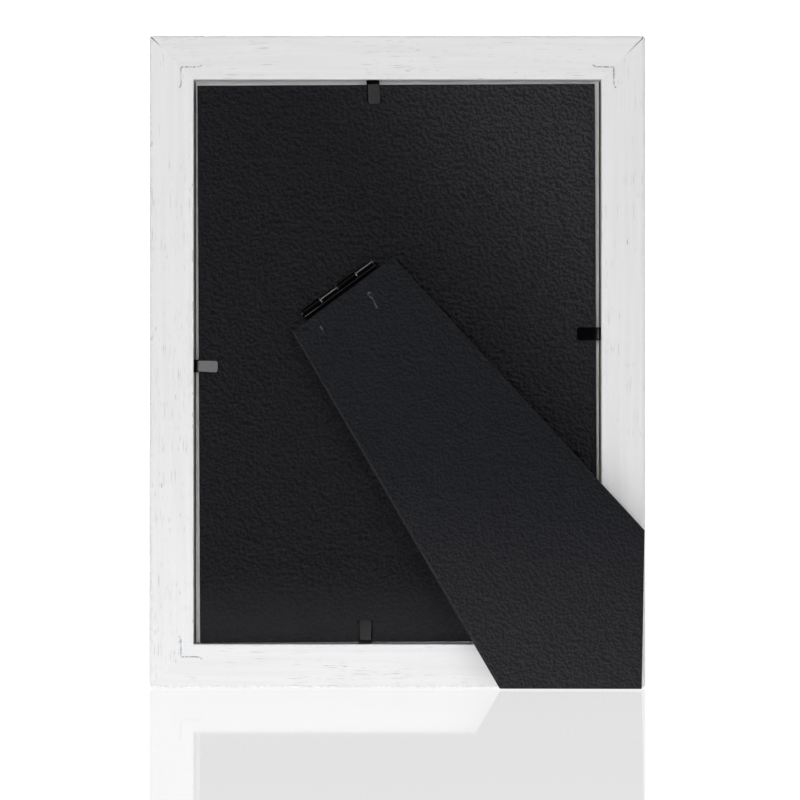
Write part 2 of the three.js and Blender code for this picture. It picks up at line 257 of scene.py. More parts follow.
def ramp(value, low, high, outLow=0.0, outHigh=1.0):
    inputs = dict(enumerate((value, low, high, outLow, outHigh)))
    return shade(value.id_data, "MapRange", inputs, interpolation_type="SMOOTHSTEP")


def noise(vector, scale, detail=2.0, rough=0.5, seed=0.0):
    inputs = {"Vector": vector, "Scale": scale, "Detail": detail, "Roughness": rough, "W": seed}
    return shade(vector.id_data, "TexNoise", inputs, noise_dimensions="4D")


def split(vector):
    return addNode(vector.id_data, "ShaderNodeSeparateXYZ", {0: vector}).outputs


def merge(*parts):
    return shade(treeOf(parts), "CombineXYZ", dict(enumerate(parts)))


def meshOf(holder):
    return addNode(holder.id_data, "GeometryNodeObjectInfo", {"Object": holder}).outputs["Geometry"]


def curveOf(holder):
    return shape(holder.id_data, "MeshToCurve", {"Mesh": meshOf(holder)})


def setMark(geometry, label, value):             # a number that the points carry
    inputs = {"Geometry": geometry, "Name": label, "Value": value}
    return shape(geometry.id_data, "StoreNamedAttribute", inputs, data_type="FLOAT", domain="POINT")


def getMark(tree, label):
    node = addNode(tree, "GeometryNodeInputNamedAttribute", {"Name": label}, data_type="FLOAT")
    return node.outputs["Attribute"]


def closeTree(result, geometry, finish):         # every tree ends in real geometry with its finish
    tree = geometry.id_data
    real = shape(tree, "RealizeInstances", {"Geometry": geometry})
    plug(result["Geometry"], shape(tree, "SetMaterial", {"Geometry": real, "Material": finish}))
    return tree


def grow(name, tree, values):                    # run a geometry tree and keep its mesh
    piece = place(name, bpy.data.meshes.new(name))
    modifier = piece.modifiers.new(tree.name, "NODES")
    modifier.node_group = tree
    for socket in tree.interface.items_tree:
        if socket.in_out == "INPUT" and socket.name in values:
            modifier[socket.identifier] = values[socket.name]
    bake(piece)
    return piece


# The camera stands where the photograph was taken
cameraView = dict(
    imageWidth=800,
    pixelsPerMm=3.138,                           # at the rails' back face
    originPixel=(397.4, 688.2),                  # middle of the resting edge
    distance=1260 * mm,                          # lens to the back face
    sensor=36.0,
)


def photoCamera():
    view = cameraView
    data = bpy.data.cameras.new("photoCamera")
    data.sensor_width = view["sensor"]
    data.lens = view["sensor"] * view["distance"] * view["pixelsPerMm"] / (view["imageWidth"] * mm)
    data.clip_end = 100.0
    camera = place("photoCamera", data)
    middle = view["imageWidth"] / 2
    left = (middle - view["originPixel"][0]) / view["pixelsPerMm"] * mm
    rise = (view["originPixel"][1] - middle) / view["pixelsPerMm"] * mm
    camera.location = (left, backY - view["distance"], rise)
    camera.rotation_euler = (math.pi / 2, 0, 0)
    bpy.context.scene.camera = camera


# White studio: bright behind the object, dim behind the camera, with soft boxes
studio = dict(
    dimLevel=0.024,                              # the room behind the camera, as the black pieces mirror it
    softLevel=0.1,                               # the same room as it lights matt surfaces
    softLobe=10.2, lobeTurn=-8, lobeRise=-1,     # with most of that light from about the camera's direction
    lobeEdges=(16, 5),
    frontLevel=0.55,                             # the bright side of the room as it lights matt surfaces
    roomWhite=1.25,                              # the same side as the table mirrors it
    roomEdge=0.25,                               # half the width in which the two sides blend
    floorRadius=6.0, floorSides=96, floorDrop=0.1 * mm,
    floorWhite=0.88, floorGlow=1.05, floorRoughness=0.04,
    floorSheen=0.25,                             # share of mirror in the table top
    shadowShare=0.08,
    bounce=(1.38, 0.68), bounceReach=(0.05, 0.5),   # light from below, near and far
    tableReach=(0.3, 0.9),                       # shadow and sheen fade between these radii
    blackGlow=(0.5, 0.03), blackReach=(0.1, 0.8),   # the table as the black pieces mirror it, near and far
)
softBoxes = (
    dict(name="keyBox", turn=32, rise=17, away=1.7, size=(0.9, 0.9), level=1.2),
    dict(name="cornerBox", turn=16, rise=18, away=1.6, size=(0.2, 0.2), level=6.8, matt=False),
    dict(name="leftBox", turn=-22, rise=5, away=1.6, size=(0.25, 0.25), level=11, matt=False),
    dict(name="sideBox", turn=2.5, rise=0.4, away=1.43, size=(0.055, 0.055), level=4.3),
    dict(name="lensBox", turn=-0.64, rise=0.12, away=1.44, size=(0.042, 0.066), level=1.1),
    dict(name="fillBox", turn=-28, rise=30, away=1.7, size=(0.5, 0.5), level=4.3),
    dict(name="topBox", turn=0, rise=76, away=1.5, size=(1.2, 0.7), level=1.2),
)


def fromAim(turn, rise):                         # a direction to the right of and above the camera's side
    turn, rise = math.radians(turn), math.radians(rise)
    return Vector((math.sin(turn) * math.cos(rise), -math.cos(turn) * math.cos(rise), math.sin(rise)))


def whiteStudio():
    world = bpy.data.worlds.new("whiteStudio")
    bpy.context.scene.world = world
    world.use_nodes = True
    tree = world.node_tree
    tree.nodes.clear()
    towards = addNode(tree, "ShaderNodeTexCoord").outputs["Generated"]
    side, edge = split(towards)["Y"], studio["roomEdge"]
    mirrored = ramp(side, -edge, edge, studio["dimLevel"], studio["roomWhite"])
    soft = ramp(side, -edge, edge, studio["softLevel"], studio["frontLevel"])
    middle = fromAim(studio["lobeTurn"], studio["lobeRise"])
    nearAxis = calcVector("DOT_PRODUCT", towards, tuple(middle))
    outer, inner = (math.cos(math.radians(angle)) for angle in studio["lobeEdges"])
    soft = calc("ADD", soft, ramp(nearAxis, outer, inner, 0.0, studio["softLobe"]))
    ray = addNode(tree, "ShaderNodeLightPath").outputs
    room = blendOf("FLOAT", ray["Is Diffuse Ray"], mirrored, soft)
    strength = calc("MAXIMUM", room, ray["Is Camera Ray"])
    glow = shade(tree, "Background", {"Color": (1, 1, 1, 1), "Strength": strength})
    addNode(tree, "ShaderNodeOutputWorld", {"Surface": glow})


def softBox(name, turn, rise, away, size, level, matt=True):   # matt surfaces may be left unlit
    lamp = bpy.data.lights.new(name, "AREA")
    lamp.shape = "RECTANGLE"
    lamp.size, lamp.size_y = size
    lamp.energy = level * math.pi * size[0] * size[1]
    holder = place(name, lamp)
    back = fromAim(turn, rise)
    holder.location = Vector((0, 0, frameHeight / 2)) + back * away
    holder.visible_camera = False
    holder.visible_diffuse = matt
    holder.rotation_euler = back.to_track_quat("Z", "Y").to_euler()


def tableTop():
    disc = bmesh.new()
    bmesh.ops.create_circle(disc, cap_ends=True, radius=studio["floorRadius"], segments=studio["floorSides"])
    table = placeShell("tableTop", disc)
    table.data.transform(Matrix.Translation((0, 0, -studio["floorDrop"])))
    material = bpy.data.materials.new("tableWhite")
    material.use_nodes = True
    tree = material.node_tree
    tree.nodes.clear()
    ray = addNode(tree, "ShaderNodeLightPath").outputs
    seen = calc("MAXIMUM", ray["Is Camera Ray"], ray["Is Glossy Ray"])
    seen = calc("MAXIMUM", seen, ray["Is Transmission Ray"])
    away = calcVector("LENGTH", addNode(tree, "ShaderNodeTexCoord").outputs["Object"])
    near = ramp(away, *studio["tableReach"], 1.0, 0.0)
    white = (studio["floorWhite"],) * 3 + (1,)
    plain = shade(tree, "BsdfDiffuse", {"Color": white})
    mirrored = ramp(away, *studio["blackReach"], *studio["blackGlow"])
    strength = blendOf("FLOAT", ray["Is Glossy Ray"], studio["floorGlow"], mirrored)
    glow = shade(tree, "Emission", {"Color": (1, 1, 1, 1), "Strength": strength})
    mirror = shade(tree, "BsdfGlossy", {"Roughness": studio["floorRoughness"]})
    shaded = times(near, studio["shadowShare"])
    bright = shade(tree, "MixShader", {0: shaded, 1: glow, 2: plain})
    polish = times(near, studio["floorSheen"])
    polished = shade(tree, "MixShader", {0: polish, 1: bright, 2: mirror})
    lit = ramp(away, *studio["bounceReach"], *studio["bounce"])
    bounce = shade(tree, "Emission", {"Color": white, "Strength": lit})
    whole = shade(tree, "MixShader", {0: seen, 1: bounce, 2: polished})
    addNode(tree, "ShaderNodeOutputMaterial", {"Surface": whole})
    table.data.materials.append(material)


# Finishes
def coat(surface, **values):                     # sockets of the shader, with _ for a space
    for label, value in values.items():
        plug(surface.inputs[label.replace("_", " ")], value)


def newFinish(name, **constants):
    material = bpy.data.materials.new(name)
    material.use_nodes = True
    tree = material.node_tree
    tree.nodes.clear()
    surface = addNode(tree, "ShaderNodeBsdfPrincipled")
    coat(surface, **constants)
    addNode(tree, "ShaderNodeOutputMaterial", {"Surface": surface.outputs[0]})
    return material, tree, surface


def groupIn(group, **values):
    return addNode(treeOf(values.values()), "ShaderNodeGroup", values, node_tree=group).outputs


def objectSpace(tree, turn=(0, 0, 0), shift=(0, 0, 0)):
    here = addNode(tree, "ShaderNodeTexCoord").outputs["Object"]
    inputs = {"Vector": here, "Rotation": turn, "Location": shift}
    return shade(tree, "Mapping", inputs)


def bumped(surface, height, distance):
    inputs = {"Height": height, "Distance": distance, "Strength": 1.0}
    coat(surface, Normal=shade(surface.id_data, "Bump", inputs))


pore = dict(cell=2.4, size=(0.16, 0.42), core=0.3)   # cell over pore, pore in its cell, dark core in the pore
rubbing = dict(blur=0.12, limits=(0.45, 0.8))


def poreGroup():                                 # open pores as short dashes along x
    inputs = {"Vector": "Vector", "Length": "Float", "Width": "Float", "Share": "Float"}
    tree, given, result = newTree("openPores", "ShaderNodeTree", inputs, {"Mask": "Float"})
    longCell, wideCell = (times(given[label], pore["cell"]) for label in ("Length", "Width"))
    ways = zip(split(given["Vector"]), (longCell, wideCell, wideCell))
    stretched = merge(*(calc("DIVIDE", way, cell) for way, cell in ways))
    cells = addNode(tree, "ShaderNodeTexVoronoi", {"Vector": stretched, "Scale": 1.0}).outputs
    pick = split(cells["Color"])
    size = ramp(pick["Y"], 0.0, 1.0, *pore["size"])
    dash = ramp(cells["Distance"], size, times(size, pore["core"]))
    present = ramp(pick["X"], given["Share"], 0.0)
    plug(result["Mask"], times(dash, present))
    return tree


def wearGroup():                                 # rubbed-through patches along worn edges
    inputs = {"Vector": "Vector", "Edge": "Float", "Patch": "Float", "Amount": "Float"}
    tree, given, result = newTree("rubbedEdges", "ShaderNodeTree", inputs, {"Mask": "Float"})
    scale = calc("DIVIDE", 1.0, given["Patch"])
    patches = noise(given["Vector"], scale, 4.0, 0.6, 3.1)
    limit = minus(1.0, given["Amount"])
    patches = ramp(patches, limit, calc("ADD", limit, rubbing["blur"]))
    strength = times(given["Edge"], patches)
    plug(result["Mask"], ramp(strength, *rubbing["limits"]))
    return tree


def gritGroup():                                 # fine unevenness of a painted or papered surface
    inputs = {"Vector": "Vector", "Size": "Float"}
    tree, given, result = newTree("fineGrit", "ShaderNodeTree", inputs, {"Fine": "Float", "Cloud": "Float"})
    scale = calc("DIVIDE", 1.0, given["Size"])
    cloudScale = times(scale, 0.04)
    plug(result["Fine"], noise(given["Vector"], scale, 3.0, 0.6, 1.7))
    plug(result["Cloud"], noise(given["Vector"], cloudScale, 2.0, 0.5, 5.3))
    return tree


def creaseGroup():                               # leathery creases of an embossed paper
    inputs = {"Vector": "Vector", "Size": "Float", "Folds": "Float"}
    outputs = {"Height": "Float", "Pits": "Float", "Slope": "Float"}
    tree, given, result = newTree("paperCreases", "ShaderNodeTree", inputs, outputs)
    scale = calc("DIVIDE", 1.0, given["Size"])
    warp = addNode(tree, "ShaderNodeTexNoise", {"Vector": given["Vector"], "Scale": scale, "Detail": 1.0})
    reach = merge(*[given["Size"]] * 3)
    warp = calcVector("MULTIPLY", warp.outputs["Color"], reach)
    bent = calcVector("ADD", given["Vector"], warp)
    above = calcVector("ADD", bent, calcVector("MULTIPLY", reach, (0.2, 0.0, 0.25)))
    swell, swellAbove = [noise(spot, scale, 2.0, 0.5, 2.2) for spot in (bent, above)]
    vein = noise(bent, times(scale, 0.8), 1.0, 0.5, 8.4)
    fold = ramp(calc("ABSOLUTE", minus(vein, 0.5)), 0.07, 0.0)
    fold = times(fold, given["Folds"])
    plug(result["Height"], calc("MULTIPLY_ADD", fold, -0.2, swell))
    plug(result["Pits"], ramp(swell, 0.55, 0.3))
    # Slope: which way the paper leans, used for painted light and shade on the pebbles
    plug(result["Slope"], ramp(minus(swell, swellAbove), -0.09, 0.09))
    return tree


openPores = poreGroup()
rubbedEdges = wearGroup()
fineGrit = gritGroup()
paperCreases = creaseGroup()


def markOf(tree, label):
    return addNode(tree, "ShaderNodeAttribute", attribute_name=label).outputs["Fac"]


woodPaint = dict(
    pale=(0.875, 0.875, 0.885, 1), shade=(0.80, 0.80, 0.81, 1),
    pore=(0.36, 0.355, 0.35, 1), bare=(0.70, 0.57, 0.45, 1),
    rubbedAndShaded=(0.55, 0.53, 0.53, 1), raw=(0.22, 0.17, 0.12, 1),
    longPore=(4.6 * mm, 0.16 * mm), shortPore=(1.5 * mm, 0.12 * mm), dot=(1.3 * mm, 0.26 * mm),
    shortDark=0.75, dotDark=0.7, dotShare=0.06,
    driftScale=28.0, patchScale=55.0, fillScale=420.0, streakScale=700.0, raggedScale=900.0,
    waver=0.9 * mm, poreDepth=0.06 * mm, gritSize=0.35 * mm, wornPatch=5 * mm, wornShare=0.75,
)


def whiteWood(name, turn, shift, pores, wear, rubAndShade, bareWallShade, tone):   # grain along the rail's own x
    paint = woodPaint
    material, tree, surface = newFinish(name, Specular_IOR_Level=0.4)
    here = objectSpace(tree, (0, -turn, 0), shift)
    drift = minus(noise(here, paint["driftScale"], 1.0, 0.5, 0.4), 0.5)
    drift = times(drift, 2 * paint["waver"])
    here = calcVector("ADD", here, merge(0.0, 0.0, drift))
    patchy = ramp(noise(here, paint["patchScale"], 1.0, 0.5, 6.0), 0.35, 0.65)
    share = times(patchy, pores)
    masks = []
    dotShare = times(share, paint["dotShare"])
    for kind, part in (("longPore", share), ("shortPore", share), ("dot", dotShare)):
        length, width = paint[kind]
        masks.append(groupIn(openPores, Vector=here, Length=length, Width=width, Share=part)["Mask"])
    long, short, dots = masks
    filled = ramp(noise(here, paint["fillScale"], 2.0, 0.5, 2.0), 0.25, 0.75, 0.25, 0.9)
    dashes = calc("MAXIMUM", long, times(short, paint["shortDark"]))
    dashes = times(dashes, filled)
    dashes = calc("MAXIMUM", dashes, times(dots, paint["dotDark"]))
    along = calcVector("MULTIPLY", here, (0.03, 1.0, 1.0))
    streak = noise(along, paint["streakScale"], 3.0, 0.6, 1.0)
    # tone: painted light, each rail's paint a little lighter or darker as it is lit
    pale, shade = (tuple(part * tone for part in paint[key]) for key in ("pale", "shade"))
    colour = tint(ramp(streak, 0.35, 0.75, 0.0, 0.55), pale, shade)
    colour = tint(dashes, colour, paint["pore"])
    edge = markOf(tree, "edge")
    # grey on the rounded edges, most on the bottom rail: partly rubbed paint, partly painted shade of the
    # rounded edge
    ragged = noise(here, paint["raggedScale"], 3.0, 0.6, 7.0)
    ragged = ramp(ragged, 0.35, 0.65, 0.1 * rubAndShade, rubAndShade)
    rubbedAndShaded = times(calc("POWER", edge, 2.0), ragged)
    colour = tint(rubbedAndShaded, colour, paint["rubbedAndShaded"])
    # dark raw wood deep in the rabbet, which also stands in for the shade in the narrow slit beside the board
    deep = times(calc("GREATER_THAN", markOf(tree, "raw"), 0.9), bareWallShade)
    colour = tint(deep, colour, paint["raw"])
    worn = groupIn(rubbedEdges, Vector=here, Edge=edge, Patch=paint["wornPatch"], Amount=wear)["Mask"]
    colour = tint(times(worn, paint["wornShare"]), colour, paint["bare"])
    grit = groupIn(fineGrit, Vector=along, Size=paint["gritSize"])["Fine"]
    coat(surface, Base_Color=colour, Roughness=ramp(grit, 0.2, 0.8, 0.42, 0.62))
    height = calc("MULTIPLY_ADD", dashes, -1.0, times(grit, 0.25))
    height = calc("MULTIPLY_ADD", streak, 0.35, height)
    bumped(surface, height, paint["poreDepth"])
    return material


nailPaint = dict(steel=(0.28, 0.28, 0.28, 1), paint=(0.76, 0.76, 0.77, 1), patch=0.9 * mm, relief=0.05 * mm)


def nailSteel():
    material, tree, surface = newFinish("nailSteel", Specular_IOR_Level=0.5)
    grit = groupIn(fineGrit, Vector=objectSpace(tree), Size=nailPaint["patch"])["Fine"]
    painted = ramp(grit, 0.4, 0.56)
    coat(surface, Base_Color=tint(painted, nailPaint["steel"], nailPaint["paint"]),
         Metallic=ramp(painted, 0.0, 1.0, 0.5, 0.0),
         Roughness=ramp(painted, 0.0, 1.0, 0.42, 0.6))
    bumped(surface, grit, nailPaint["relief"])
    return material


boardPaper = dict(
    gloss=0.19, crease=1.15 * mm, folds=0.4, grit=0.22 * mm, gritHeight=0.07, relief=0.6 * mm,
    tone=((0.0002, 0.0001, 0.0010, 1), (0.0100, 0.0090, 0.0140, 1)),   # painted shade on slopes facing down left, painted light on slopes facing up right
    # lighter paper laid where light is painted on the paper
    paintedLight=((0.0115, 0.0107, 0.0140, 1), (0.0400, 0.0390, 0.0440, 1)),
    lowerTint=(0.0190, 0.0176, 0.0210, 1), lowReach=(40 * mm, 15 * mm), lowShare=0.65,
    litAlong=(0.8, 0, 0.6), litReach=(0.085, 0.155), rough=(0.25, 0.33), pitRough=0.5,
)
strutPaper = dict(
    gloss=0.22, crease=0.95 * mm, folds=0.2, grit=0.25 * mm, gritHeight=0.1, relief=0.46 * mm,
    tone=((0.0000, 0.0003, 0.0018, 1), (0.0064, 0.0080, 0.0132, 1)),
    # paintedLight here is laid on the strut's foot
    paintedLight=((0.014, 0.013, 0.016, 1), (0.040, 0.038, 0.043, 1)), lowReach=(80 * mm, 0.0), lowShare=0.7,
    worn=(0.09, 0.09, 0.092, 1), wornPatch=3 * mm, wornAmount=0.75, wornShare=0.22,
    scuff=(0.42, 0.42, 0.43, 1), rough=(0.26, 0.34), pitRough=0.45, edgeRough=0.95,
)


def embossedPaper(name, paper):                  # what both papers share
    material, tree, surface = newFinish(name, Specular_IOR_Level=paper["gloss"])
    here = objectSpace(tree)
    crease = groupIn(paperCreases, Vector=here, Size=paper["crease"], Folds=paper["folds"])
    grit = groupIn(fineGrit, Vector=here, Size=paper["grit"])["Fine"]
    # painted light and shade: each pebble lighter on its side facing up right, darker facing down left
    tone, paintedLight = (tint(crease["Slope"], *paper[key]) for key in ("tone", "paintedLight"))
    low = ramp(split(here)["Z"], *paper["lowReach"], 0.0, paper["lowShare"])   # lighter towards the bottom; on the strut's foot a painted reflection of the bright table
    rough = ramp(grit, 0.25, 0.75, *paper["rough"])
    rough = blendOf("FLOAT", crease["Pits"], rough, paper["pitRough"])
    height = calc("MULTIPLY_ADD", grit, paper["gritHeight"], crease["Height"])
    bumped(surface, height, paper["relief"])
    return (material, surface), (here, grit, low), (tone, paintedLight, rough)


def pebbledBlack():
    paper = boardPaper
    (material, surface), (here, grit, low), (tone, paintedLight, rough) = embossedPaper("pebbledBlack", paper)
    # painted light: the board's paper lighter towards its upper right, as a lamp there lights it
    upRight = calcVector("DOT_PRODUCT", here, paper["litAlong"])
    litUpRight = ramp(upRight, *paper["litReach"])
    litUpRight = times(litUpRight, ramp(grit, 0.3, 0.7, 0.6, 1.0))
    tone = tint(low, tint(litUpRight, tone, paintedLight), paper["lowerTint"])
    coat(surface, Base_Color=tone, Roughness=rough)
    return material


fibres = dict(
    greyFibre=((0.5, 0.49, 0.47, 1), (0.68, 0.67, 0.65, 1)),
    blackFibre=((0.022, 0.019, 0.017, 1), (0.085, 0.075, 0.068, 1)),
)


def fibreEdge(name):                             # the cut edges of a board
    material, tree, surface = newFinish(name, Specular_IOR_Level=0.2)
    stretched = calcVector("MULTIPLY", objectSpace(tree), (0.3, 3.0, 0.3))
    layers = noise(stretched, 1400.0, 3.0, 0.6, 4.0)
    coat(surface, Base_Color=tint(layers, *fibres[name]),
         Roughness=ramp(layers, 0.2, 0.8, 0.75, 0.95))
    bumped(surface, layers, 0.12 * mm)
    return material


def segmentMask(vector, start, end, width):      # 1 along a straight scratch
    span = end - start
    offset = calcVector("SUBTRACT", vector, tuple(start))
    share = calc("DIVIDE", calcVector("DOT_PRODUCT", offset, tuple(span)), span.length_squared)
    share = calc("MINIMUM", calc("MAXIMUM", share, 0.0), 1.0)
    nearest = calcVector("MULTIPLY", merge(share, share, share), tuple(span))
    return ramp(calcVector("DISTANCE", offset, nearest), width, width * 0.25)


def strutBlack(scratches):
    paper = strutPaper
    (material, surface), (here, grit, low), (tone, paintedLight, rough) = embossedPaper("strutBlack", paper)
    tree = surface.id_data
    worn = groupIn(rubbedEdges, Vector=here, Edge=markOf(tree, "handled"),
                   Patch=paper["wornPatch"], Amount=paper["wornAmount"])["Mask"]
    tone = tint(times(worn, paper["wornShare"]), tone, paper["worn"])
    # painted reflection: the strut lighter towards its foot
    litFoot = times(low, ramp(grit, 0.3, 0.7, 0.5, 1.0))
    tone = tint(litFoot, tone, paintedLight)
    ragged = ramp(grit, 0.4, 0.55)
    for start, end, width, strength in scratches:
        scuff = times(segmentMask(here, start, end, width), ragged)
        tone = tint(times(scuff, strength), tone, paper["scuff"])
    edge = ramp(markOf(tree, "edge"), 0.6, 1.0)
    coat(surface, Base_Color=tone, Roughness=blendOf("FLOAT", edge, rough, paper["edgeRough"]))
    return material


steels = dict(                                   # tabs, the strut's leaf with the pin, the board's leaf
    tabSteel=dict(bright=0.25, rough=0.04, gloss=0.5, steel=0.42, shine=1.0, dent=0.003 * mm),
    hingeSteel=dict(bright=0.8, rough=0.05, gloss=0.65, steel=0.09, shine=0.2, dent=0.1 * mm),
    dullSteel=dict(bright=0.3, rough=0.1, gloss=0.06, steel=0.42, shine=1.0, dent=0.02 * mm),
)


def blackSteel(name):                            # thin lacquer, rubbed on its edges
    looks = steels[name]
    material, tree, surface = newFinish(name, Specular_IOR_Level=looks["gloss"])
    here = objectSpace(tree)
    grit = groupIn(fineGrit, Vector=here, Size=0.3 * mm)
    worn = groupIn(rubbedEdges, Vector=here, Edge=markOf(tree, "edge"), Patch=1.6 * mm,
                   Amount=looks["bright"])["Mask"]
    tone = tint(grit["Cloud"], (0.0002, 0.0002, 0.0002, 1), (0.0005, 0.0005, 0.0006, 1))
    bare = (looks["steel"],) * 3 + (1,)
    coat(surface, Base_Color=tint(worn, tone, bare), Metallic=times(worn, looks["shine"]),
         Roughness=ramp(grit["Fine"], 0.2, 0.8, looks["rough"], 2 * looks["rough"]))
    dents = noise(here, 330.0, 1.0, 0.5, 4.6)
    height = calc("MULTIPLY_ADD", dents, looks["dent"], times(grit["Fine"], 0.0012 * mm))
    bumped(surface, height, 1.0)
    return material


def scrapedSteel():                              # prong tips, hammered down and rubbed
    material, tree, surface = newFinish("scrapedSteel", Specular_IOR_Level=0.5)
    grit = groupIn(fineGrit, Vector=objectSpace(tree), Size=0.45 * mm)["Fine"]
    bright = ramp(grit, 0.55, 0.66)
    coat(surface, Base_Color=tint(bright, (0.004, 0.004, 0.005, 1), (0.4, 0.4, 0.41, 1)),
         Metallic=times(bright, 0.6), Roughness=ramp(bright, 0.0, 1.0, 0.2, 0.5))
    bumped(surface, grit, 0.06 * mm)
    return material


def clearGlass():
    material, tree, surface = newFinish("clearGlass", Transmission_Weight=1.0, IOR=1.52)
    smear = groupIn(fineGrit, Vector=objectSpace(tree), Size=2 * mm)["Cloud"]
    coat(surface, Base_Color=tint(smear, (0.97, 0.985, 0.98, 1), (0.985, 0.995, 0.99, 1)),
         Roughness=ramp(smear, 0.3, 0.8, 0.0, 0.02))
    ray = addNode(tree, "ShaderNodeLightPath").outputs
    passing = calc("MAXIMUM", ray["Is Shadow Ray"], ray["Is Diffuse Ray"])   # light reaches the card
    clear = shade(tree, "BsdfTransparent", {"Color": (0.9, 0.92, 0.91, 1)})
    whole = shade(tree, "MixShader", {0: passing, 1: surface.outputs[0], 2: clear})
    plug(tree.nodes["Material Output"].inputs["Surface"], whole)
    return material


def groundGlass():
    material, tree, surface = newFinish("groundGlass", Specular_IOR_Level=0.5)
    grit = groupIn(fineGrit, Vector=objectSpace(tree), Size=0.25 * mm)["Fine"]
    coat(surface, Base_Color=tint(grit, (0.42, 0.55, 0.5, 1), (0.6, 0.7, 0.66, 1)),
         Roughness=ramp(grit, 0.2, 0.8, 0.4, 0.65))
    bumped(surface, grit, 0.03 * mm)
    return material


def plainCard():
    material, tree, surface = newFinish("plainCard", Specular_IOR_Level=0.2)
    here = objectSpace(tree)
    fibres = noise(calcVector("MULTIPLY", here, (1.0, 1.0, 0.35)), 2400.0, 3.0, 0.6, 9.0)
    cloud = groupIn(fineGrit, Vector=here, Size=1.5 * mm)["Cloud"]
    tone = tint(cloud, (0.90, 0.895, 0.88, 1), (0.93, 0.925, 0.915, 1))
    tone = tint(ramp(fibres, 0.5, 0.8, 0.0, 0.3), tone, (0.8, 0.79, 0.77, 1))
    coat(surface, Base_Color=tone, Roughness=ramp(fibres, 0.2, 0.8, 0.75, 0.92))
    bumped(surface, fibres, 0.02 * mm)
    return material


# A strip or sheet swept along a path and set at its places: nails, tabs, knuckles, prongs
def sweptStripTree():
    inputs = {label: "Object" for label in ("Path", "Section", "Places")}
    inputs.update(Normal="Vector", Material="Material")
    tree, given, result = newTree("sweptStrip", "GeometryNodeTree", inputs, {"Geometry": "Geometry"})
    path, section = (curveOf(given[label]) for label in ("Path", "Section"))
    turned = shape(tree, "SetCurveNormal", {"Curve": path, "Normal": given["Normal"]}, mode="FREE")
    strip = shape(tree, "CurveToMesh", {"Curve": turned, "Profile Curve": section, "Fill Caps": True})
    turn = merge(0.0, getMark(tree, "turn"), 0.0)
    spots = {"Points": meshOf(given["Places"]), "Instance": strip, "Rotation": turn}
    return closeTree(result, shape(tree, "InstanceOnPoints", spots), given["Material"])


sweptStrip = sweptStripTree()


def stripSection(breadth, thickness, radius, steps=3):   # breadth along the path's normal
    signs = ((-1, -1), (1, -1), (1, 1), (-1, 1))
    corners = [(x * breadth / 2, y * thickness / 2, radius, True) for x, y in signs]
    loop = filletLoop(corners, min(breadth / 6, 0.25 * mm), steps)
    return chain("section", [(x, y, 0) for x, y in loop], True, edge=edgeMask(loop, corners, thickness / 2))


def sweep(name, path, section, normal, places, material=None):   # places are (point, turn about y)
    line = chain("path", path)
    spots = bpy.data.meshes.new("places")
    spots.from_pydata([tuple(point) for point, turn in places], [], [])
    spots.attributes.new("turn", "FLOAT", "POINT").data.foreach_set("value", [turn for point, turn in places])
    spots = place("places", spots)
    values = {"Path": line, "Section": section, "Normal": normal, "Places": spots, "Material": material}
    piece = grow(name, sweptStrip, values)
    discard(line, spots, section)
    closeUp(piece)
    return piece


# Corner nails: bent steel strips across the mitres, hardly below the paint
nail = dict(
    fromEdges=10 * mm, leg=5.4 * mm, bendRadius=0.4 * mm, curlRadius=1.4 * mm, curlAngle=62,
    thickness=0.36 * mm, slit=0.02 * mm, edgeRadius=0.05 * mm,
)
corners = ("bottom_left", "top_left", "top_right", "bottom_right")


def nailPath(depth):
    leg, bend, curl = nail["leg"], nail["bendRadius"], nail["curlRadius"]
    flat = arc((leg, -curl), curl, 90 - nail["curlAngle"], 90, 8)
    flat += arc((bend, bend), bend, 270, 180, 6)
    flat += arc((-curl, leg), curl, 0, nail["curlAngle"], 8)
    return [(x, depth, z) for x, z in flat]


def cornerNails(name, extra, topY, material):    # extra widens and deepens them into the slits
    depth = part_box("top_left_corner_nail")[1].y + extra - topY
    offset = nail["fromEdges"]
    spots = []
    for k, (x, z) in enumerate(((-1, 0), (-1, 1), (1, 1), (1, 0))):
        inset = Vector((-x * offset, 0, offset if z == 0 else -offset))
        spots.append((Vector((x * frameWidth / 2, 0, z * frameHeight)) + inset, k * math.pi / 2))
    section = stripSection(depth, nail["thickness"] + 2 * extra, nail["edgeRadius"])
    return sweep(name, nailPath(topY + depth / 2), section, (0, -1, 0), spots, material)


# Tabs: one steel strip each, driven into the rabbet wall and bent down on the board
tab = dict(
    rootWidth=4.1 * mm, tipWidth=4.4 * mm, thickness=0.45 * mm, tipRadius=0.85 * mm, edgeRadius=0.12 * mm,
    driven=8 * mm, reach=6.6 * mm, drop=0.45 * mm,   # drop of the flap towards the board
    kink=0.3 * mm, bendHalf=0.55 * mm, kerf=0.08 * mm, wall=1 * mm,
)
sides = ("bottom", "left", "top", "right")


def jointFrame(name, flip=1):                    # x on the axis, y inwards
    axis = Vector(jointOf[name]["axis"]).normalized() * flip
    turned = Matrix((axis, inwards, axis.cross(inwards))).transposed().to_4x4()
    return Matrix.Translation(jointOf[name]["pos_m"]) @ turned


def tabPath():
    slope = tab["drop"] / tab["reach"]
    kink, tip = tab["kink"], tab["reach"]
    shoulder = tip - tab["tipRadius"]
    along = [-tab["driven"] + k * mm for k in range(7)]
    along += [k * 0.1 * mm for k in range(-10, 11)]
    along += [mm + (shoulder - mm) * k / 12 for k in range(1, 12)]
    along += [shoulder + tab["tipRadius"] * math.sin(math.radians(k * 9)) for k in range(11)]
    return [(0, slope * (z + math.hypot(z, kink)) / 2, z) for z in along]


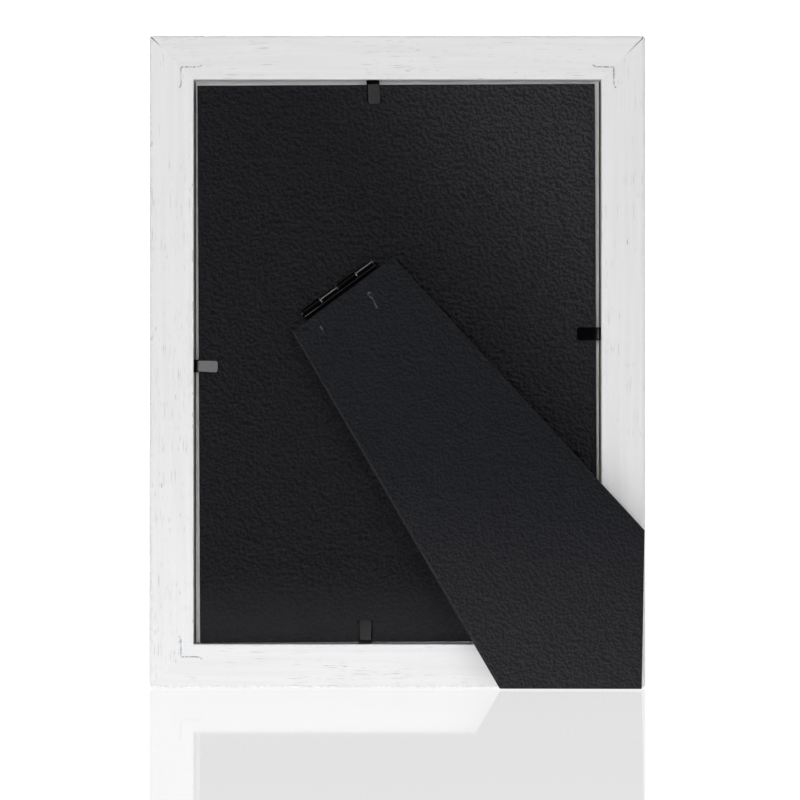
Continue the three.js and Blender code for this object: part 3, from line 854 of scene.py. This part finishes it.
def shapeTab(piece):                             # widen towards the tip and round its corners
    root, tip, radius = tab["rootWidth"] / 2, tab["tipWidth"] / 2, tab["tipRadius"]
    shoulder = tab["reach"] - radius
    for point in piece.data.vertices:
        z = point.co.z
        half = root + (tip - root) * max(0.0, min(1.0, z / shoulder))
        beyond = max(0.0, min(radius, z - shoulder))
        half += math.sqrt(radius ** 2 - beyond ** 2) - radius
        point.co.x *= half / root


def flexTab(side, material):
    section = stripSection(tab["rootWidth"], tab["thickness"], tab["edgeRadius"])
    piece = sweep(f"{side}Tab", tabPath(), section, (1, 0, 0), [((0, 0, 0), 0.0)], material)
    shapeTab(piece)
    spot = jointFrame(f"{side}_tab_bend")
    piece.data.transform(spot)
    settle(piece, None, "black_steel", f"{side}_tab_point", f"{side}_tab_flap")
    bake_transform(piece)


def tabKerf(side):                               # the cut that a tab sits in
    half = tab["rootWidth"] / 2 + tab["kerf"]
    thick = tab["thickness"] / 2 + tab["kerf"]
    low = (-half, -thick, -tab["driven"] - tab["kerf"])
    kerf = boxBetween("kerf", low, (half, thick, -0.8 * tab["wall"]))
    kerf.data.transform(jointFrame(f"{side}_tab_bend"))
    return kerf


# Rails: one moulding, mitred at both ends
rail = dict(
    rabbetWall=14 * mm, lip=6 * mm, sightBevel=2 * mm,
    outerRadius=0.8 * mm, rabbetRadius=0.22 * mm, sightRadius=0.35 * mm, innerRadius=0.15 * mm,
    spacing=0.75 * mm, rowSpacing=0.65 * mm, wearReach=0.7 * mm, wearClear=2 * mm,
    seam=0.006 * mm, crackReach=3.4 * mm, crackDepth=6 * mm, ripple=0.04 * mm, chip=0.2 * mm,
    paintedTo=-1.5 * mm,                         # the rabbet is raw wood deeper than this; its dark colour also paints the shade down in the slit
)
# tone is painted light: the left rail's paint lighter and the right rail's darker
railLooks = dict(                                # cracks and knocks are at the rail's start and end
    bottom=dict(crack=(0.02, 0.02), knock=(1.9, 1.2), pores=0.9, wear=0.42, rubAndShade=0.4,
                bareWallShade=0.1, tone=1.0, seed=1.0),
    left=dict(crack=(0.24, 0.02), knock=(0.4, 1.9), pores=0.9, wear=0.48, rubAndShade=0.2,
              bareWallShade=1.0, tone=1.02, seed=2.0),
    top=dict(crack=(0.26, 0.24), knock=(1.0, 0.4), pores=0.7, wear=0.3, rubAndShade=0.12,
             bareWallShade=0.0, tone=1.0, seed=3.0),
    right=dict(crack=(0.02, 0.26), knock=(1.2, 1.0), pores=0.78, wear=0.3, rubAndShade=0.15,
               bareWallShade=1.0, tone=0.975, seed=4.0),
)


def mouldingCorners():                           # across the rail from its outer edge, and from back to front
    wall, deep = rail["rabbetWall"], frontY - rail["lip"]
    return [
        (0, backY, rail["outerRadius"], True),
        (0, frontY, rail["outerRadius"], True),
        (mouldingWidth - rail["sightBevel"], frontY, rail["sightRadius"], True),
        (mouldingWidth, frontY - rail["sightBevel"], rail["sightRadius"], True),
        (mouldingWidth, deep, rail["innerRadius"], True),
        (wall, deep, rail["innerRadius"], False),
        (wall, backY, rail["rabbetRadius"], True),
    ]


def mitredRailTree():
    numbers = ("Length", "Seam", "Crack Start", "Crack End", "Crack Reach", "Knock Start", "Knock End",
               "Ripple", "Chip", "Seed", "Turn")
    inputs = {"Section": "Object", "Rows": "Int", "Place": "Vector", "Material": "Material"}
    inputs.update({label: "Float" for label in numbers})
    tree, given, result = newTree("mitredRail", "GeometryNodeTree", inputs, {"Geometry": "Geometry"})
    half = times(given["Length"], 0.5)
    ends = {"Start": merge(times(half, -1.0), 0.0, 0.0), "End": merge(half, 0.0, 0.0)}
    line = shape(tree, "CurvePrimitiveLine", ends)
    rows = shape(tree, "ResampleCurve", {"Curve": line, "Count": given["Rows"]})
    section = curveOf(given["Section"])
    bar = shape(tree, "CurveToMesh", {"Curve": rows, "Profile Curve": section, "Fill Caps": True})
    spot = shape(tree, "InputPosition")
    along, depth, across = split(spot)
    clear = minus(minus(half, calc("ABSOLUTE", along)), across)
    clear = ramp(clear, 0.0, rail["wearClear"])  # no wear in the mitre itself
    share = calc("DIVIDE", along, half)          # -1 at the start, 1 at the end
    atEnd = calc("GREATER_THAN", share, 0.0)
    crack, knock = (blendOf("FLOAT", atEnd, given[label + " Start"], given[label + " End"])
                    for label in ("Crack", "Knock"))
    opening = times(crack, ramp(across, 0.0, given["Crack Reach"], 1.0, 0.0))
    opening = times(opening, ramp(depth, backY, backY + rail["crackDepth"], 1.0, 0.0))
    reach = minus(minus(half, across), calc("ADD", given["Seam"], opening))
    fromEnd = minus(half, calc("ABSOLUTE", times(share, reach)))
    overEnd, overEdge = (calc("MAXIMUM", minus(knock, gap), 0.0) for gap in (fromEnd, across))
    far = calc("MAXIMUM", calcVector("LENGTH", merge(overEnd, overEdge, 0.0)), 1e-9)
    pull = minus(1.0, calc("MINIMUM", calc("DIVIDE", knock, far), 1.0))
    fromEnd = calc("MULTIPLY_ADD", overEnd, pull, fromEnd)
    across = calc("MULTIPLY_ADD", overEdge, pull, across)
    along = times(calc("SIGN", share), minus(half, fromEnd))
    mitred = shape(tree, "SetPosition", {"Geometry": bar, "Position": merge(along, depth, across)})
    stretched = calcVector("MULTIPLY", spot, (0.2, 1.0, 1.0))
    wave = minus(noise(stretched, 320.0, 2.0, 0.5, given["Seed"]), 1.0)   # only inwards
    nicks = ramp(noise(spot, 210.0, 3.0, 0.6, given["Seed"]), 0.55, 0.75)
    lost = times(times(nicks, getMark(tree, "edge")), given["Chip"])
    lift = times(minus(times(wave, given["Ripple"]), lost), clear)
    offset = calcVector("MULTIPLY", shape(tree, "InputNormal"), merge(lift, lift, lift))
    aged = shape(tree, "SetPosition", {"Geometry": mitred, "Offset": offset})
    turn = merge(0.0, given["Turn"], 0.0)
    moved = shape(tree, "Transform", {"Geometry": aged, "Translation": given["Place"], "Rotation": turn})
    return closeTree(result, moved, given["Material"])


def mitredRails(tools):
    tree = mitredRailTree()
    outline = mouldingCorners()
    loop = filletLoop(outline, rail["spacing"], 5)
    wall, deep = rail["rabbetWall"] - 0.1 * mm, frontY - rail["lip"] + 0.1 * mm
    raw = [float(x > wall and rail["paintedTo"] < y < deep) for x, y in loop]
    edge = edgeMask(loop, outline, rail["wearReach"])
    section = chain("moulding", [(-y, -x, 0) for x, y in loop], True, edge=edge, raw=raw)
    halfWidth, halfHeight = frameWidth / 2, frameHeight / 2
    spots = ((0, 0), (-halfWidth, halfHeight), (0, frameHeight), (halfWidth, halfHeight))
    for k, side in enumerate(sides):
        looks = railLooks[side]
        length = frameWidth if k % 2 == 0 else frameHeight
        turn = k * math.pi / 2
        shift = (looks["seed"] * 0.31, 0, looks["seed"] * 0.17)
        paint = {key: looks[key] for key in ("pores", "wear", "rubAndShade", "bareWallShade", "tone")}
        finish = whiteWood(f"whiteWood_{side}", turn, shift, **paint)
        values = {"Section": section, "Length": length, "Rows": int(length / rail["rowSpacing"]),
                  "Place": (spots[k][0], 0, spots[k][1]), "Turn": turn, "Seed": looks["seed"],
                  "Seam": rail["seam"], "Crack Reach": rail["crackReach"], "Ripple": rail["ripple"],
                  "Chip": rail["chip"], "Material": finish}
        for label in ("crack", "knock"):
            for end, size in zip(("Start", "End"), looks[label]):
                values[f"{label.capitalize()} {end}"] = size * mm
        piece = grow(f"{side}Rail", tree, values)
        closeUp(piece)
        for tool in tools:
            carve(piece, tool)
        settle(piece, "frame", "white_wood", f"{side}_rail")
    discard(section)


# Boards faced with embossed paper: a grid between a top edge and a foot of one or two straight edges
def facedBoardTree():
    spots = ("Top Left", "Top Right", "Foot Left", "Foot Corner", "Foot Right", "Left Dent", "Right Dent")
    numbers = ("Corner Share", "Border", "Crease Size", "Crease Height", "Dent Radius", "Dent Height", "Seed")
    inputs = {"Columns": "Int", "Rows": "Int", "Material": "Material"}
    inputs.update({label: "Vector" for label in spots})
    inputs.update({label: "Float" for label in numbers})
    tree, given, result = newTree("facedBoard", "GeometryNodeTree", inputs, {"Geometry": "Geometry"})
    sizes = {"Size X": 1.0, "Size Y": 1.0, "Vertices X": given["Columns"], "Vertices Y": given["Rows"]}
    grid = shape(tree, "MeshGrid", sizes)
    spot = shape(tree, "InputPosition")
    x, y = split(spot)[:2]
    across, down = calc("ADD", x, 0.5), minus(0.5, y)
    top = blendOf("VECTOR", across, given["Top Left"], given["Top Right"])
    share, corner = given["Corner Share"], given["Foot Corner"]
    early = calc("DIVIDE", across, share)
    early = blendOf("VECTOR", early, given["Foot Left"], corner)
    late = calc("DIVIDE", minus(across, share), minus(1.0, share))
    late = blendOf("VECTOR", late, corner, given["Foot Right"])
    foot = calcVector("SUBTRACT", calcVector("ADD", early, late), corner)
    flat = blendOf("VECTOR", down, top, foot)
    breadth = calcVector("DISTANCE", given["Top Left"], given["Top Right"])
    length = calcVector("DISTANCE", given["Top Left"], given["Foot Left"])
    aside, below = (times(calc("MINIMUM", way, minus(1.0, way)), size)
                    for way, size in ((across, breadth), (down, length)))
    edge = ramp(calc("MINIMUM", aside, below), 0.0, given["Border"], 1.0, 0.0)
    handled = ramp(aside, 0.0, given["Border"], blendOf("FLOAT", across, 1.0, 0.7), 0.0)
    marked = setMark(setMark(grid, "edge", edge), "handled", handled)
    sheet = shape(tree, "SetPosition", {"Geometry": marked, "Position": flat})
    scale = calc("DIVIDE", 1.0, given["Crease Size"])
    swell = minus(noise(spot, scale, 2.0, 0.55, given["Seed"]), 0.5)
    veinSeed = calc("ADD", given["Seed"], 7.0)
    vein = noise(spot, times(scale, 0.7), 1.0, 0.5, veinSeed)
    ridge = ramp(calc("ABSOLUTE", minus(vein, 0.5)), 0.1, 0.0)
    relief = times(calc("MULTIPLY_ADD", ridge, 0.15, swell), given["Crease Height"])
    for dent in ("Left Dent", "Right Dent"):
        away = calcVector("DISTANCE", spot, given[dent])
        bulge = times(ramp(away, 0.0, given["Dent Radius"], 1.0, 0.0), given["Dent Height"])
        relief = calc("ADD", relief, bulge)
    relief = times(relief, minus(1.0, getMark(tree, "edge")))
    offset = merge(0.0, times(relief, -1.0), 0.0)
    raised = shape(tree, "SetPosition", {"Geometry": sheet, "Offset": offset})
    return closeTree(result, raised, given["Material"])


def backUp(piece, thickness):                    # side walls and a flat rear behind a faced sheet
    board = bmesh.new()
    board.from_mesh(piece.data)
    rim = [edge for edge in board.edges if edge.is_boundary]
    made = bmesh.ops.extrude_edge_only(board, edges=rim)["geom"]
    moved = [item for item in made if isinstance(item, bmesh.types.BMVert)]
    bmesh.ops.translate(board, verts=moved, vec=inwards * thickness)
    rear = [edge for edge in board.edges if edge.is_boundary]
    bmesh.ops.holes_fill(board, edges=rear, sides=0)
    bmesh.ops.recalc_face_normals(board, faces=board.faces)
    board.to_mesh(piece.data)
    board.free()


def paintEdges(piece, finish):                   # side walls in another finish
    piece.data.materials.append(finish)
    for face in piece.data.polygons:
        if abs(face.normal.y) < 0.5:
            face.material_index = 1


facedBoard = facedBoardTree()


def facedSheet(name, outline, sheet, thickness, finish, edgeFinish, dents=None, border=1 * mm, seed=1.0):
    topLeft, footLeft, footCorner, footRight, topRight = outline
    bottom = (footCorner - footLeft).length
    side = (footRight - footCorner).length
    columns = round(max((topRight - topLeft).length, bottom + side) / sheet["step"])
    share = round(columns * bottom / (bottom + side)) / columns
    rows = round((footCorner - (topLeft + topRight) / 2).length / sheet["step"])
    size, height = sheet["creases"]
    left, right, radius, swell = dents or (Vector(), Vector(), 1.0, 0.0)
    labels = ("Top Left", "Foot Left", "Foot Corner", "Foot Right", "Top Right")
    values = {**dict(zip(labels, outline)), "Corner Share": share, "Columns": columns + 1, "Rows": rows + 1,
              "Border": border, "Crease Size": size, "Crease Height": height, "Left Dent": left,
              "Right Dent": right, "Dent Radius": radius, "Dent Height": swell, "Seed": seed,
              "Material": finish}
    piece = grow(name, facedBoard, values)
    backUp(piece, thickness)
    paintEdges(piece, edgeFinish)
    return piece


def boxOutline(node):                            # the back face of a node's box, from its top left
    low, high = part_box(node)
    flat = ((low.x, high.z), (low.x, low.z), (0, low.z), (high.x, low.z), (high.x, high.z))
    return [Vector((x, low.y, z)) for x, z in flat]


board = dict(step=0.53 * mm, creases=(2.2 * mm, 0.16 * mm), edgeRadius=0.2 * mm,
             slack=-0.27, lift=0.3 * mm)         # it lies a little askew in the rabbet
strut = dict(step=0.6 * mm, creases=(2.4 * mm, 0.07 * mm), edgeRadius=0.28 * mm, thickness=2.5 * mm,
             dents=(2.2 * mm, 0.12 * mm))        # radius and height over each prong
card = dict(step=3.0 * mm, creases=(40 * mm, 0.04 * mm), border=6 * mm,
            topGap=0.03 * mm)                    # pushed up to the top wall
glass = dict(seam=0.25 * mm)


def backBoard(edgeFinish):
    low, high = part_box("backboard")
    piece = facedSheet("backBoard", boxOutline("backboard"), board, high.y - low.y,
                       pebbledBlack(), edgeFinish, seed=2.0)
    soften(piece, board["edgeRadius"], 2)
    middle = Matrix.Translation((low + high) / 2)
    askew = Matrix.Rotation(math.radians(board["slack"]), 4, "Y")
    piece.data.transform(Matrix.Translation((0, 0, board["lift"])) @ middle @ askew @ middle.inverted())
    settle(piece, "frame", "pebbled_black", "backboard")


def pictureCard():
    finish = plainCard()
    low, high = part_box("picture_insert")
    outline = boxOutline("picture_insert")
    for corner in (outline[0], outline[4]):
        corner.z = frameHeight - rail["rabbetWall"] - card["topGap"]
    piece = facedSheet("pictureCard", outline, card, high.y - low.y, finish, finish,
                       border=card["border"], seed=5.0)
    settle(piece, "frame", "plain_card", "picture_insert")


def pictureGlass():
    piece = boxBetween("pictureGlass", *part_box("picture_glass"))
    piece.data.materials.append(clearGlass())
    soften(piece, glass["seam"], 1)
    paintEdges(piece, groundGlass())
    settle(piece, "frame", "picture_glass", "picture_glass", sharp=20)


# Strut hinge: two rolled leaves on a pin. Its frame has x along the axis and z up the strut.
hinge = dict(
    pitch=7 * mm, knuckleGap=0.3 * mm, rollRadius=0.955 * mm, sheet=0.55 * mm, rollAngle=285,
    leafWidth=12 * mm, leafTop=1.0 * mm, edgeRadius=0.16 * mm, seat=0.1 * mm, lap=0.3 * mm,
    prongs=(-11.7 * mm, 7 * mm), prongDrop=7.75 * mm, prongWidth=1.3 * mm, prongSheet=0.36 * mm,
    prongBend=0.3 * mm, prongRadius=0.1 * mm, clinch=0.8 * mm, prongSlot=0.1 * mm,
    boardGrip=2.2 * mm,                          # what the prongs of the board's leaf go through
    pinRadius=0.6 * mm, headRadius=1.0 * mm, headThick=0.45 * mm, headGap=0.1 * mm, pinSides=32,
    headBevel=0.08 * mm, headRound=0.16 * mm, headDome=0.02 * mm,
)
hingeSpot = jointFrame("strut_swing", -1)


def strutSpot():                                 # the hinge's frame turned to the strut's rest
    tilt = Vector()
    for face in frame["nodes"]["strut"].data.polygons:
        if face.normal.y < -0.9:
            tilt += face.normal * face.area
    tilt = hingeSpot.to_3x3().transposed() @ tilt
    return hingeSpot @ Matrix.Rotation(-math.atan2(tilt.z, -tilt.y), 4, "X")


def strutOutline(spot):                          # five corners from the top left, against the clock
    back = spot.inverted()
    points = [back @ point.co for point in frame["nodes"]["strut"].data.vertices]
    outer = min(point.y for point in points)
    flat = [Vector((point.x, point.z)) for point in points]
    hull = [flat[k] for k in convex_hull_2d(flat)]
    middle = sum(hull, Vector((0, 0))) / len(hull)
    hull.sort(key=lambda point: math.atan2(point.y - middle.y, point.x - middle.x) % (2 * math.pi))
    kept = [point for k, point in enumerate(hull) if (point - hull[k - 1]).length > 0.1 * mm]
    first = max(range(len(kept)), key=lambda k: kept[k].y * 10 - kept[k].x)
    kept = kept[first:] + kept[:first]
    return [Vector((point.x, outer, point.y)) for point in kept]


def hingeLeaf(name, grip, finish, scraped):      # grip is the board that the prongs go through
    middle, half = hinge["rollRadius"], 2 * hinge["pitch"] - hinge["knuckleGap"] / 2
    sheet, radius = hinge["sheet"], hinge["edgeRadius"]
    height = hinge["leafWidth"] - hinge["leafTop"]
    plate = [(x, -middle, -hinge["leafTop"] - height / 2) for x in (-half, half)]
    piece = sweep(name, plate, stripSection(height, sheet, radius), (0, 0, 1), [((0, 0, 0), 0.0)], finish)
    roll = [(0, -middle, -hinge["leafTop"] - hinge["lap"])]
    roll += [(0, -x, y) for x, y in arc((0, 0), middle, 0, hinge["rollAngle"], 40)]
    spots = [((x * hinge["pitch"], 0, 0), 0.0) for x in (-0.5, 1.5)]
    breadth = hinge["pitch"] - hinge["knuckleGap"]
    knuckles = sweep("knuckles", roll, stripSection(breadth, sheet, radius), (1, 0, 0), spots, finish)
    bend, drop = hinge["prongBend"], -hinge["prongDrop"]
    outer = -(middle + sheet / 2 + 2 * hinge["seat"] + grip + hinge["prongSheet"] / 2)
    prong = [(0, -middle, drop)]
    prong += [(0, y, z) for y, z in arc((outer + bend, drop - bend), bend, 90, 180, 6)]
    prong += [(0, outer, drop - bend - hinge["clinch"])]
    spots = [((x, 0, 0), 0.0) for x in hinge["prongs"]]
    section = stripSection(hinge["prongWidth"], hinge["prongSheet"], hinge["prongRadius"])
    prongs = sweep("prongs", prong, section, (1, 0, 0), spots, scraped)
    for part in (knuckles, prongs):
        carve(piece, part, "UNION")
    discard(knuckles, prongs)
    return piece


def prongSlots(spot, grip):
    slots = []
    half = hinge["prongWidth"] / 2 + hinge["prongSlot"]
    thick = hinge["prongSheet"] / 2 + hinge["prongSlot"]
    near = -(hinge["rollRadius"] + hinge["sheet"] / 2)
    for x in hinge["prongs"]:
        low = (x - half, near - grip - mm, -hinge["prongDrop"] - thick)
        slot = boxBetween("prongSlot", low, (x + half, near + mm, -hinge["prongDrop"] + thick))
        slot.data.transform(spot)
        slots.append(slot)
    return slots


def hingePin(finish):                            # turned about the axis, with two domed heads
    end = 2 * hinge["pitch"] + hinge["headGap"]
    head, far = hinge["headRadius"], end + hinge["headThick"]
    bevel, curve = hinge["headBevel"], hinge["headRound"]
    profile = [(hinge["pinRadius"], 0.0), (hinge["pinRadius"], end), (head - bevel, end)]
    profile += [(head, end + bevel), (head, far - curve)]
    for turn in (math.radians(22), math.radians(45)):
        profile.append((head - curve * math.tan(turn), far - curve * (1 - math.sin(turn))))
    profile += [(0.4 * head, far), (0.0, far + hinge["headDome"])]
    profile = [(radius, -x) for radius, x in reversed(profile[1:])] + profile[1:]
    pin = bmesh.new()
    line = [pin.verts.new((x, 0, radius)) for radius, x in profile]
    edges = [pin.edges.new(pair) for pair in zip(line, line[1:])]
    bmesh.ops.spin(pin, geom=line + edges, cent=(0, 0, 0), axis=(1, 0, 0), angle=2 * math.pi,
                   steps=hinge["pinSides"])
    piece = placeShell("hingePin", pin)
    closeUp(piece)
    piece.data.transform(hingeSpot)
    piece.data.materials.append(finish)
    settle(piece, "frame", "black_steel", "hinge_pin")


def strutAndHinge(edgeFinish, finish, dull):
    spot = strutSpot()
    outline = strutOutline(spot)
    outer = outline[0].y
    left, right = (Vector((x, outer, -hinge["prongDrop"])) for x in hinge["prongs"])
    scuffs = (                                   # prong, start, end and drift in mm, width, strength
        (left, -0.9, 0.5, 0.0, 0.32 * mm, 0.5),
        (right, -0.5, 0.7, 0.0, 0.45 * mm, 0.5),
        (right, 1.0, 5.0, -0.7, 0.28 * mm, 0.3),
    )
    scratches = []
    for prong, first, last, drift, width, strength in scuffs:
        start = spot @ (prong + first * Vector((0, 0, -mm)))
        end = spot @ (prong + last * Vector((0, 0, -mm)) + Vector((drift * mm, 0, 0)))
        scratches.append((start, end, width, strength))
    piece = facedSheet("strutBoard", outline, strut, strut["thickness"], strutBlack(scratches), edgeFinish,
                       dents=(left, right, *strut["dents"]), seed=3.0)
    soften(piece, strut["edgeRadius"], 2)
    piece.data.transform(spot)
    slots = prongSlots(spot, strut["thickness"])
    for slot in slots:
        carve(piece, slot)
    discard(*slots)
    settle(piece, "strut", "strut_black", "strut")
    scraped = scrapedSteel()
    leaf = hingeLeaf("strutHingeLeaf", strut["thickness"], finish, scraped)
    leaf.data.transform(spot)
    settle(leaf, "strut", "black_steel", "strut_hinge_leaf")
    leaf = hingeLeaf("boardHingeLeaf", hinge["boardGrip"], dull, scraped)
    leaf.data.transform(hingeSpot @ Matrix.Rotation(math.pi, 4, "Z"))
    settle(leaf, "frame", "black_steel", "board_hinge_leaf")
    hingePin(finish)


photoCamera()
whiteStudio()
for box in softBoxes:
    softBox(**box)
tableTop()
print("camera, light and table set")

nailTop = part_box("top_left_corner_nail")[0].y
nails = cornerNails("cornerNails", 0.0, nailTop, nailSteel())
settle(nails, "frame", "nail_steel", *(f"{corner}_corner_nail" for corner in corners))
slits = cornerNails("slits", nail["slit"], backY - mm, None)
kerfs = [tabKerf(side) for side in sides]
mitredRails([slits] + kerfs)
discard(slits, *kerfs)

lacquer = blackSteel("tabSteel")
for side in sides:
    flexTab(side, lacquer)
backBoard(fibreEdge("greyFibre"))
pictureCard()
pictureGlass()
strutAndHinge(fibreEdge("blackFibre"), blackSteel("hingeSteel"), blackSteel("dullSteel"))

bpy.context.scene.view_settings.view_transform = "Standard"
print("all pieces made")
